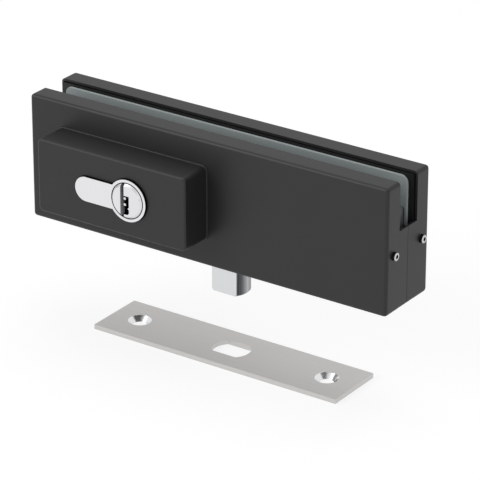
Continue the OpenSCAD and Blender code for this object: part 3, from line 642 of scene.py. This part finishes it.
def keyway(face_y):
    """The solids that the keyway takes out of the plug: the broached opening between its wards, and the
    narrow slit across the whole face."""
    x, z = axis_place()
    left, right, top, bottom = x - 1.65 * MM, x + 1.35 * MM, z + 2.2 * MM, z - 5.35 * MM
    corner, key_l = 0.7 * MM, 22 * MM
    slit_right, slit_deep, slit_reach = x - 1 * MM, 2.5 * MM, 9 * MM
    ward_places = z + 1.15 * MM, z - 1.3 * MM
    ward_half, ward_out = 0.45 * MM, 1.65 * MM
    ridge_r, ridge_z = 0.45 * MM, z - 2.75 * MM
    opening = add_box("opening", (left, face_y - PAST, bottom), (right, face_y + key_l, top))
    edit(opening)
    select("EDGE", lambda e: along(e, Y) and near(middle(e).z, bottom))
    bpy.ops.mesh.bevel(offset=corner, segments=1)
    leave_edit()
    wards = [add_box("ward", (left - PAST, face_y - 2 * PAST, ward_z - ward_half),
                     (left + ward_out, face_y + key_l + PAST, ward_z + ward_half))
             for ward_z in ward_places]
    cut(opening, *wards, add_bar("ridge", (right, face_y - 2 * PAST, ridge_z),
                                 (right, face_y + key_l + PAST, ridge_z), ridge_r, sides=SMALL_SIDES))
    slit = add_box("slit", (x - SLIT_LEFT, face_y - PAST, z - slit_reach),
                   (slit_right, face_y + slit_deep, z + slit_reach))
    return opening, slit


def pin_places():
    """Where the front cylinder's five pins stand along Y."""
    first_in, pitch, pin_count = 4.6 * MM, 3.8 * MM, 5
    return [low("cylinder_body").y + first_in + i * pitch for i in range(pin_count)]


def housing_screw_places():
    """Where the housing's four screws stand, in X and Z."""
    post_in = 5 * MM
    lo, hi = low("front_housing"), high("front_housing")
    return [(x, z) for x in (lo.x + post_in, hi.x - post_in) for z in (lo.z + post_in, hi.z - post_in)]


class LOCK_OT_covers(Operator):
    """Adds the two cover shells, with rounded coating on every edge"""

    bl_idname = "lock.covers"
    bl_label = "Covers"

    def execute(self, context):
        s = sizes()
        lo, hi = low("front_cover"), high("front_cover")
        rim_y, seam_y = -6 * MM, hi.y
        wall_low_z, wall_top_z = lo.z + 0.6 * MM, -5 * MM
        hole_r, screw_gap = 1.7 * MM, 0.1 * MM
        cover = add_box("front_cover_shell", lo, (hi.x, rim_y, hi.z))
        edit(cover)
        select("FACE", lambda f: near(middle(f).y, rim_y))
        bpy.ops.mesh.inset(thickness=s.sheet)
        pull((0, lo.y + s.sheet - rim_y, 0))
        leave_edit()
        round_weighted(cover, s.cover_fillet, 6, (1, lambda e: near(middle(e).y, lo.y)),
                       (s.cover_corner / s.cover_fillet,
                        lambda e: along(e, Y) and near(abs(middle(e).x), hi.x)
                        and (near(middle(e).z, lo.z) or near(middle(e).z, hi.z))))
        edit(cover)
        for z in (wall_low_z, wall_top_z):
            split_at((0, 0, z), (0, 0, 1))
        select("FACE", lambda f: near(middle(f).y, rim_y) and wall_low_z < middle(f).z < wall_top_z
               and abs(middle(f).x) > hi.x - s.sheet)
        pull((0, seam_y - rim_y, 0))
        leave_edit()
        cut(cover, *add_profile("window", lo.y - PAST, rim_y, s.window_gap))
        for x, z in housing_screw_places():
            drill(cover, (x, lo.y - PAST, z), (x, rim_y, z), hole_r)
        screw = middle_of("end_screws")
        screw_r = screw.z - low("end_screws").z
        screw_y = low("end_screws").y + screw_r
        for end, out in ((lo.x, -1), (hi.x, 1)):
            drill(cover, (end - 2 * out * s.sheet, screw_y, screw.z), (end + out * PAST, screw_y, screw.z),
                  screw_r + screw_gap)
        round_edges(cover, s.paint_round)
        rear = copy_of(cover, "rear_cover_shell", BACK)
        dress(cover, "case", "cover_paint", finish("powder_coated_steel"), "front_cover")
        dress(rear, "case", "cover_paint", finish("powder_coated_steel"), "rear_cover")
        return {"FINISHED"}


class LOCK_OT_housings(Operator):
    """Adds the two raised housings round the cylinder, each on a thin foot"""

    bl_idname = "lock.housings"
    bl_label = "Housings"

    def execute(self, context):
        s = sizes()
        lo, hi = low("front_housing"), high("front_housing")
        foot_y = hi.y - s.foot_h
        housing = add_box("front_housing_shell", lo, hi)
        edit(housing)
        select("EDGE", lambda e: along(e, Y))
        bpy.ops.mesh.bevel(offset=s.housing_corner, segments=10)
        select("EDGE", lambda e: near(middle(e).y, lo.y))
        bpy.ops.mesh.bevel(offset=s.housing_fillet, segments=6)
        split_at((0, foot_y, 0), (0, 1, 0))
        select("FACE", lambda f: middle(f).y > foot_y and abs(f.normal.y) < 0.5)
        bpy.ops.mesh.extrude_region_shrink_fatten(
            TRANSFORM_OT_shrink_fatten={"value": s.foot_w, "use_even_offset": True})
        select("EDGE", lambda e: near(middle(e).y, foot_y)
               and any(middle(f).y > foot_y + s.foot_h / 10 for f in e.link_faces))
        bpy.ops.mesh.bevel(offset=s.foot_round, segments=3)
        leave_edit()
        wall = s.housing_wall
        pocket = add_box("pocket", (lo.x + wall, lo.y + wall, lo.z + wall),
                         (hi.x - wall, hi.y + PAST, hi.z - wall))
        post_r, thread_r, thread_deep = 3.4 * MM, 1.55 * MM, 9 * MM
        for x, z in housing_screw_places():
            cut(pocket, add_bar("post", (x, lo.y + wall / 2, z), (x, hi.y, z), post_r, sides=SMALL_SIDES))
        cut(housing, pocket)
        cut(housing, *add_profile("window", lo.y - PAST, hi.y + PAST, s.window_gap))
        for x, z in housing_screw_places():
            drill(housing, (x, hi.y - thread_deep, z), (x, hi.y + PAST, z), thread_r)
        round_edges(housing, s.paint_round)
        rear = copy_of(housing, "rear_housing_shell", BACK)
        dress(housing, "case", "housing_paint", finish("powder_coated_steel"), "front_housing")
        dress(rear, "case", "housing_paint", finish("powder_coated_steel"), "rear_housing")
        return {"FINISHED"}


class LOCK_OT_strike(Operator):
    """Adds the strike plate, deburred all round, with its bolt hole and two countersunk holes"""

    bl_idname = "lock.strike"
    bl_label = "Strike plate"

    def execute(self, context):
        s = sizes()
        lo, hi = low("strike_plate"), high("strike_plate")
        x = (lo.x + hi.x) / 2
        bolt_r, half_w = 7.8 * MM, 5.5 * MM
        screw_r, sink_r, screw_out = 2.5 * MM, 4.7 * MM, 44 * MM
        plate = add_box("strike_plate_brushed", lo, hi)
        hole = add_bar("hole", (x, 0, lo.z - PAST), (x, 0, hi.z + PAST), bolt_r)
        edit(hole)
        trim_sides(half_w)
        leave_edit()
        cut(plate, hole)
        for side in (-1, 1):
            sx = x + side * screw_out
            drill(plate, (sx, 0, lo.z - PAST), (sx, 0, hi.z), screw_r)
            cut(plate, add_bar("sink", (sx, 0, hi.z - (sink_r - screw_r)), (sx, 0, hi.z + PAST), screw_r,
                               sink_r + PAST, sides=SMALL_SIDES))
        round_edges(plate, s.strike_round)
        dress(plate, "strike", "strike_steel", finish("brushed_stainless_steel"), "strike_plate")
        # The cones: neither the flat top nor the upright walls
        finish_where(plate, finish("bright_countersink"),
                     lambda f: 0.2 < f.normal.z < 0.95 and near(abs(f.center.x - x), screw_out, sink_r)
                     and abs(f.center.y) < sink_r)
        return {"FINISHED"}


class LOCK_OT_gaskets(Operator):
    """Adds the two gaskets, punched from sheet to fit round the block"""

    bl_idname = "lock.gaskets"
    bl_label = "Gaskets"

    def execute(self, context):
        s = sizes()
        lo, hi = low("front_gasket"), high("front_gasket")
        arch_left, arch_right = -41.9 * MM, -3.3 * MM
        gasket = add_box("front_gasket_sheet", lo, hi)
        edit(gasket)
        select("EDGE", lambda e: along(e, Y) and near(middle(e).z, hi.z))
        bpy.ops.mesh.bevel(offset=s.gasket_corner, segments=16)
        leave_edit()
        cut(gasket,
            add_box("block", (lo.x + s.gasket_end, lo.y - PAST, lo.z - PAST),
                    (hi.x - s.gasket_end, hi.y + PAST, hi.z - s.gasket_band)),
            add_box("arch", (arch_left, lo.y - PAST, lo.z), (arch_right, hi.y + PAST, hi.z - s.gasket_arch)))
        round_edges(gasket, s.gasket_round, segments=3)
        rear = copy_of(gasket, "rear_gasket_sheet", BACK)
        dress(gasket, "case", "gasket_grey", finish("vulcanised_fibre"), "front_gasket")
        dress(rear, "case", "gasket_grey", finish("vulcanised_fibre"), "rear_gasket")
        return {"FINISHED"}


class LOCK_OT_cylinder(Operator):
    """Adds the double cylinder's body, bevelled round its end faces and bored for plugs and pins"""

    bl_idname = "lock.cylinder"
    bl_label = "Cylinder"

    def execute(self, context):
        s = sizes()
        lo, hi = low("cylinder_body"), high("cylinder_body")
        x, z = axis_place()
        body, lobe, bridge = add_profile("cylinder_body_plated", lo.y, hi.y)
        join(body, lobe, bridge)
        edit(body)
        bpy.ops.mesh.select_all(action="SELECT")
        bpy.ops.mesh.dissolve_limited(angle_limit=math.radians(1))
        leave_edit()
        round_edges(body, s.profile_bevel, segments=3, angle=50)
        slot_half, slot_out = 5 * MM, 15.9 * MM
        ring_r, ring_out = 7.2 * MM, 2.2 * MM
        bore_r, screw_r = 6.55 * MM, 2.55 * MM
        head_r, head_deep, head_skin = high("front_plug").x - x + s.plug_gap, 1 * MM, 0.1 * MM
        cut(body, add_bar("bore", (x, lo.y - PAST, z), (x, hi.y + PAST, z), bore_r),
            add_bar("seat", (x, lo.y - PAST, z), (x, lo.y + head_deep, z), head_r),
            add_bar("seat", (x, hi.y - head_deep, z), (x, hi.y + PAST, z), head_r),
            add_bar("rings", (x, -slot_half - ring_out, z), (x, slot_half + ring_out, z), ring_r),
            add_box("slot", (x - slot_out, -slot_half, lo.z - PAST), (hi.x + PAST, slot_half, hi.z + PAST)))
        screw_x, end_gap = middle_of("cylinder_screw").x, 0.05 * MM
        screw_top = high("cylinder_screw").z + end_gap
        drill(body, (screw_x, 0, lo.z - 2 * PAST), (screw_x, 0, screw_top), screw_r)
        for place in pin_places():
            for side in (1, -1):
                drill(body, (lo.x - PAST, side * place, z), (x, side * place, z), PIN_R)
        dress(body, "case", "cylinder_nickel", finish("satin_nickel"), "cylinder_body")
        # Painted shade on the body's sides and on everything inside the seats round the plugs' heads; the
        # walls of these seats stay bright
        finish_where(body, finish("side_painted_shade"),
                     lambda f: abs(f.center.y) < hi.y - s.profile_bevel
                     and (abs(f.normal.y) < 0.5 or off_axis(f.center, (x, z)) < head_r)
                     and not near(off_axis(f.center, (x, z)), head_r, head_skin))
        return {"FINISHED"}


class LOCK_OT_plugs(Operator):
    """Adds the two plugs, turned and broached, each with its keyway and wards"""

    bl_idname = "lock.plugs"
    bl_label = "Plugs"

    def execute(self, context):
        s = sizes()
        x, z = axis_place()
        lo, hi = low("front_plug"), high("front_plug")
        head_r = hi.x - x
        seat_deep, slot_half, body_r, nose_r = 0.95 * MM, 5.1 * MM, 6.5 * MM, 5 * MM
        groove_y, groove_w, groove_r = -6.05 * MM, 1.1 * MM, 5.6 * MM
        tongue_half, tongue_deep, pin_in = 1.05 * MM, 1.4 * MM, 2.5 * MM
        seat_y = low("cylinder_body").y + seat_deep
        plug = add_bar("front_plug_turned", (x, lo.y, z), (x, seat_y, z), head_r)
        edit(plug)
        select("EDGE", lambda e: near(middle(e).y, lo.y))
        bpy.ops.mesh.bevel(offset=s.plug_bevel, segments=1)
        leave_edit()
        join(plug, add_bar("body", (x, seat_y - PAST, z), (x, -slot_half, z), body_r),
             add_bar("nose", (x, -slot_half - PAST, z), (x, hi.y, z), nose_r))
        cut(plug, *keyway(lo.y))
        round_edges(plug, s.plug_edge, segments=2, angle=50)
        groove = add_bar("groove", (x, groove_y - groove_w, z), (x, groove_y, z), body_r + PAST)
        cut(groove, add_bar("core", (x, groove_y - 2 * PAST, z), (x, groove_y + PAST, z), groove_r))
        cut(plug, groove,
            add_box("tongue", (x - body_r, hi.y - tongue_deep, z - tongue_half),
                    (x + body_r, hi.y + PAST, z + tongue_half)))
        for place in pin_places():
            drill(plug, (x, place, z - body_r - PAST), (x, place, z - pin_in), PIN_R)
        to_axis = Matrix.Translation((x, 0, z))
        to_rear = to_axis @ Matrix.Rotation(math.radians(90), 4, "Y") @ BACK @ to_axis.inverted()
        rear = copy_of(plug, "rear_plug_turned", to_rear)
        dress(plug, "key_drive", "plug_nickel", finish("turned_nickel"), "front_plug")
        dress(rear, "rear_plug", "plug_nickel", finish("turned_nickel"), "rear_plug")
        below_face, wall_in, skin = lo.y + 0.5 * MM, 0.5 * MM, 0.1 * MM

        def in_keyway(place):
            return (place.y > below_face and off_axis(place, (x, z)) < body_r - wall_in
                    and place.x > x - SLIT_LEFT + skin)

        def on_slit_wall(place):
            return near(place.x, x - SLIT_LEFT)

        def on_head_side(place):
            return place.y > lo.y + s.plug_bevel and off_axis(place, (x, z)) > head_r - skin

        # Painted shade: the keyway's inside and the side of each plug's head are painted near black
        for piece, to_front in ((plug, Matrix()), (rear, to_rear.inverted())):
            for name, test in (("brass_painted_shade", in_keyway), ("broached_brass", on_slit_wall),
                               ("side_painted_shade", on_head_side)):
                finish_where(piece, finish(name), lambda f: test(to_front @ f.center))
        return {"FINISHED"}


class LOCK_OT_bolt(Operator):
    """Adds the bolt, a round bar with two milled flats, slotted for its tail"""

    bl_idname = "lock.bolt"
    bl_label = "Bolt"

    def execute(self, context):
        s = sizes()
        lo, hi = low("bolt"), high("bolt")
        x, radius = (lo.x + hi.x) / 2, (hi.x - lo.x) / 2
        bolt = add_bar("bolt_milled", (x, 0, lo.z), (x, 0, hi.z), radius)
        edit(bolt)
        select("EDGE", lambda e: near(middle(e).z, lo.z))
        bpy.ops.mesh.bevel(offset=s.bolt_chamfer, segments=1)
        trim_sides(hi.y)
        leave_edit()
        tail, rivets = low("bolt_tail"), (low("tail_rivets"), high("tail_rivets"))
        side_gap, end_gap = 0.05 * MM, 0.2 * MM
        slot_half = -tail.y + side_gap
        rivet_r = (rivets[1].z - rivets[0].z) / 2
        cut(bolt, add_box("slot", (lo.x - PAST, -slot_half, tail.z - end_gap),
                          (hi.x + PAST, slot_half, hi.z + PAST)))
        for rivet_x in (rivets[0].x + rivet_r, rivets[1].x - rivet_r):
            rivet_z = rivets[0].z + rivet_r
            drill(bolt, (rivet_x, lo.y - PAST, rivet_z), (rivet_x, hi.y + PAST, rivet_z), rivet_r + side_gap)
        round_edges(bolt, s.bolt_round, segments=2)
        dress(bolt, "bolt", "bolt_steel", finish("milled_stainless_steel"), "bolt")
        # The round sides, neither the ends nor the flats, get the painted reflection
        finish_where(bolt, finish("bolt_side_painted_reflection"),
                     lambda f: abs(f.normal.z) < 0.9 and 0.05 < abs(f.normal.x)
                     and abs(f.center.y) < hi.y - s.bolt_round)
        return {"FINISHED"}


class LOCK_OT_end_screws(Operator):
    """Adds the four bright set screws in the lock's ends, domed, with hexagon sockets"""

    bl_idname = "lock.end_screws"
    bl_label = "End screws"

    def execute(self, context):
        s = sizes()
        lo, hi = low("end_screws"), high("end_screws")
        radius, screw_l = (hi.z - lo.z) / 2, 8 * MM
        socket_round, bright_l = 0.06 * MM, 0.2 * MM
        y, z = lo.y + radius, lo.z + radius
        screw = add_bar("end_screws_domed", (hi.x - screw_l, y, z), (hi.x, y, z), radius, sides=SMALL_SIDES)
        edit(screw)
        select("EDGE", lambda e: near(middle(e).x, hi.x))
        bpy.ops.mesh.bevel(offset=s.screw_dome, segments=5)
        leave_edit()
        socket_r = s.screw_hex / math.sqrt(3)
        cut(screw, add_bar("socket", (hi.x - s.screw_hex, y, z), (hi.x + PAST, y, z), socket_r, sides=6))
        round_edges(screw, socket_round, angle=40)
        twins = [copy_of(screw, "end_screw", matrix) for matrix in (BACK, OTHER_END, BACK @ OTHER_END)]
        activate(screw)
        for twin in twins:
            twin.select_set(True)
        bpy.ops.object.join()
        dress(screw, "case", "end_screw_steel", finish("bright_steel"), "end_screws")
        # Painted shade: all but the outer ends of the screws are painted dark
        finish_where(screw, finish("screw_side_painted_shade"), lambda f: abs(f.center.x) < hi.x - bright_l)
        return {"FINISHED"}


class LOCK_OT_inner_works(Operator):
    """Gives the pieces inside the lock their finishes"""

    bl_idname = "lock.inner_works"
    bl_label = "Inner works"

    def execute(self, context):
        paint_nodes("die_casting_painted_light", "front_clamp")
        paint_nodes("painted_die_casting", "rear_clamp")
        paint_nodes("zinc_plated_steel", "clamp_screws", "housing_screws", "cylinder_screw", "pad_screw")
        paint_nodes("machined_brass", "driver_pins", "pin_caps", "bolt_guide")
        # Painted shade on the key pins inside the plug
        paint_nodes("brass_painted_shade", "front_key_pins", "rear_key_pins")
        paint_nodes("spring_steel", "pin_springs", "pad_spring", "front_circlip", "rear_circlip")
        paint_nodes("hardened_steel", "cam", "clutch", "bolt_tail", "tail_rivets")
        paint_nodes("moulded_acetal", "friction_pad")
        return {"FINISHED"}


class LOCK_OT_stage(Operator):
    """Adds the pale floor, the soft lights, the white background and the camera"""

    bl_idname = "lock.stage"
    bl_label = "Stage"

    def execute(self, context):
        scene = context.scene
        deselect()
        floor_w, floor_gap = 8, 0.2 * MM
        bpy.ops.mesh.primitive_plane_add(size=floor_w, location=(0, 0, CAD_BOX[0][Z] - floor_gap))
        floor = settle("floor")
        made, tree, _ = new_material("matt_white_floor")
        # Seen directly or in gloss, the floor glows and is lit less, and the background has its full strength
        matt_share, glow_power, lit_level = 0.3, 0.78, 0.62
        white = rgba(scene.lock_colours.floor)
        matt = add_node(tree, "ShaderNodeBsdfDiffuse", {"Color": white})
        part_matt = add_node(tree, "ShaderNodeBsdfDiffuse", {"Color": rgba(shade(white[:3], matt_share))})
        glow = add_node(tree, "ShaderNodeEmission", {"Strength": glow_power})
        bright = add_node(tree, "ShaderNodeAddShader", {0: part_matt.outputs[0], 1: glow.outputs[0]})
        mix = add_node(tree, "ShaderNodeMixShader", {0: white_rays(tree), 1: matt.outputs[0],
                                                     2: bright.outputs[0]})
        close_material(tree, mix)
        floor.data.materials.append(made)

        world = bpy.data.worlds.new("white_studio")
        world.use_nodes = True
        tree = world.node_tree
        tree.nodes.clear()
        level = add_node(tree, "ShaderNodeMapRange", {"Value": white_rays(tree), "To Min": lit_level,
                                                      "To Max": 1})
        sky = add_node(tree, "ShaderNodeBackground", {"Strength": level.outputs[0]})
        add_node(tree, "ShaderNodeOutputWorld", {"Surface": sky.outputs[0]})
        scene.world = world

        # The place and width in metres and the power in watts of each soft box
        soft_boxes = {"key": ((-0.7, -1, 0.7), 0.9, 8), "fill": ((0.9, -0.5, 0.5), 0.8, 0.8),
                      "top": ((0, 0.2, 1.1), 0.9, 3)}
        for name, (place, size, power) in soft_boxes.items():
            lamp = bpy.data.lights.new(name, "AREA")
            lamp.shape, lamp.size, lamp.energy = "SQUARE", size, power
            box = bpy.data.objects.new(name, lamp)
            box.location = place
            box.rotation_euler = (-Vector(place)).to_track_quat("-Z", "Y").to_euler()
            scene.collection.objects.link(box)

        # A long lens, from the front, the right and above
        view = bpy.data.cameras.new("camera")
        view.lens, view.sensor_width = 244, 36
        camera = bpy.data.objects.new("camera", view)
        azimuth, elevation = math.radians(34.64), math.radians(24.49)
        back = Vector((math.sin(azimuth) * math.cos(elevation), -math.cos(azimuth) * math.cos(elevation),
                       math.sin(elevation)))
        camera.location = (0.64671, -0.92606, 0.48279)
        camera.rotation_euler = (-back).to_track_quat("-Z", "Y").to_euler()
        scene.collection.objects.link(camera)
        scene.camera = camera
        scene.view_settings.view_transform = "Standard"
        return {"FINISHED"}


PIECES = (LOCK_OT_inner_works, LOCK_OT_covers, LOCK_OT_housings, LOCK_OT_gaskets, LOCK_OT_cylinder,
          LOCK_OT_plugs, LOCK_OT_bolt, LOCK_OT_end_screws, LOCK_OT_strike, LOCK_OT_stage)


class LOCK_PT_panel(Panel):
    """Lists the sizes, the colours and the pieces"""

    bl_label = "Glass Door Lock"
    bl_idname = "LOCK_PT_panel"
    bl_space_type = "VIEW_3D"
    bl_region_type = "UI"
    bl_category = "Door Lock"

    def draw(self, context):
        for group in (context.scene.lock_sizes, context.scene.lock_colours):
            column = self.layout.column(align=True)
            for name in group.bl_rna.properties.keys():
                if name not in ("rna_type", "name"):
                    column.prop(group, name)
        for piece in PIECES:
            self.layout.operator(piece.bl_idname)


CLASSES = (LockSizes, LockColours, *PIECES, LOCK_PT_panel)


def register():
    for item in CLASSES:
        bpy.utils.register_class(item)
    bpy.types.Scene.lock_sizes = PointerProperty(type=LockSizes)
    bpy.types.Scene.lock_colours = PointerProperty(type=LockColours)


def unregister():
    del bpy.types.Scene.lock_colours
    del bpy.types.Scene.lock_sizes
    for item in reversed(CLASSES):
        bpy.utils.unregister_class(item)


def main():
    register()
    bpy.ops.lock.inner_works()
    bpy.ops.lock.covers()
    bpy.ops.lock.housings()
    bpy.ops.lock.gaskets()
    bpy.ops.lock.cylinder()
    bpy.ops.lock.plugs()
    bpy.ops.lock.bolt()
    bpy.ops.lock.end_screws()
    bpy.ops.lock.strike()
    bpy.ops.lock.stage()


if __name__ == "__main__":
    main()
